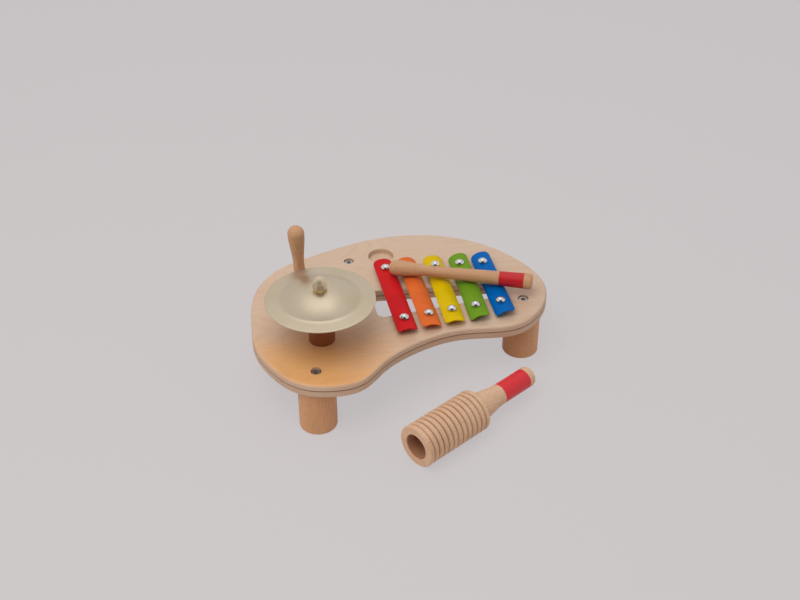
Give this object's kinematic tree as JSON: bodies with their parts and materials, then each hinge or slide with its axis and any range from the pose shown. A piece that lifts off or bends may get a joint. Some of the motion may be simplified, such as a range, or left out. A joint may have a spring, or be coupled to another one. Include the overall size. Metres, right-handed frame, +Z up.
{
  "type": "musical activity table",
  "caption": "Low kidney-shaped wooden music table on turned legs, with a cymbal on a post, arched xylophone bars over a sound opening, drumsticks and a ribbed guiro.",
  "frame": {"origin": "centre of the front left leg's foot, on the floor", "axes": "+Z up; +X along the table, across the xylophone bars; +Y along the bars, away from the player"},
  "size_m": [0.3334, 0.3341, 0.1611],
  "materials": {
    "plywood": "clear satin lacquer",
    "beech": "clear satin lacquer",
    "turned_beech": "clear satin lacquer",
    "cymbal_brass": "polished",
    "nut_brass": "polished",
    "dark_steel": "zinc plated",
    "chrome": "polished",
    "felt": "pressed felt",
    "rubber": "matte",
    "red_paint": "gloss paint",
    "orange_paint": "gloss paint",
    "yellow_paint": "gloss paint",
    "green_paint": "gloss paint",
    "blue_paint": "gloss paint"
  },
  "bodies": {
    "table": {"table_top": "plywood", "leg_front_left": "beech", "leg_back_left": "beech", "leg_right": "beech", "leg_bolts": "dark_steel", "leg_inserts": "nut_brass", "cymbal_post": "beech", "post_screw": "dark_steel", "cymbal_stud": "dark_steel", "lower_felt": "felt", "upper_felt": "felt", "cap_nut": "nut_brass", "bar_cushions": "rubber", "bar_screws": "chrome"},
    "rocker": {"cymbal_grommet": "rubber"},
    "cymbal": {"cymbal": "cymbal_brass"},
    "bar_red": {"bar_red": "red_paint"},
    "bar_orange": {"bar_orange": "orange_paint"},
    "bar_yellow": {"bar_yellow": "yellow_paint"},
    "bar_green": {"bar_green": "green_paint"},
    "bar_blue": {"bar_blue": "blue_paint"},
    "standing_stick": {"drumstick_standing": "turned_beech"},
    "lying_stick": {"drumstick_lying": "turned_beech"},
    "guiro": {"guiro_body": "turned_beech", "guiro_handle": "turned_beech"}
  },
  "joints": [
    {"name": "cymbal_rock", "type": "hinge", "parent": "table", "child": "rocker", "pos_m": [0.014, 0.0521, 0.13355], "axis": [0, 1, 0], "range_deg": [-2.5, 2.5]},
    {"name": "cymbal_spin", "type": "hinge", "parent": "rocker", "child": "cymbal", "pos_m": [0.014, 0.0521, 0.13355], "axis": [0, 0, 1], "continuous": true},
    {"name": "bar_red_play", "type": "slide", "parent": "table", "child": "bar_red", "axis": [0, 0, 1], "range_m": [-0.0002, 0.0002]},
    {"name": "bar_orange_play", "type": "slide", "parent": "table", "child": "bar_orange", "axis": [0, 0, 1], "range_m": [-0.0002, 0.0002]},
    {"name": "bar_yellow_play", "type": "slide", "parent": "table", "child": "bar_yellow", "axis": [0, 0, 1], "range_m": [-0.0002, 0.0002]},
    {"name": "bar_green_play", "type": "slide", "parent": "table", "child": "bar_green", "axis": [0, 0, 1], "range_m": [-0.0002, 0.0002]},
    {"name": "bar_blue_play", "type": "slide", "parent": "table", "child": "bar_blue", "axis": [0, 0, 1], "range_m": [-0.0002, 0.0002]},
    {"name": "standing_stick_lift", "type": "slide", "parent": "table", "child": "standing_stick", "axis": [-0.0069, 0, 1], "range_m": [0, 0.16]},
    {"name": "lying_stick_lift", "type": "slide", "parent": "table", "child": "lying_stick", "axis": [0, 0, 1], "range_m": [0, 0.15]},
    {"name": "guiro_lift", "type": "slide", "parent": "table", "child": "guiro", "axis": [0, 0, 1], "range_m": [0, 0.15]}
  ]
}
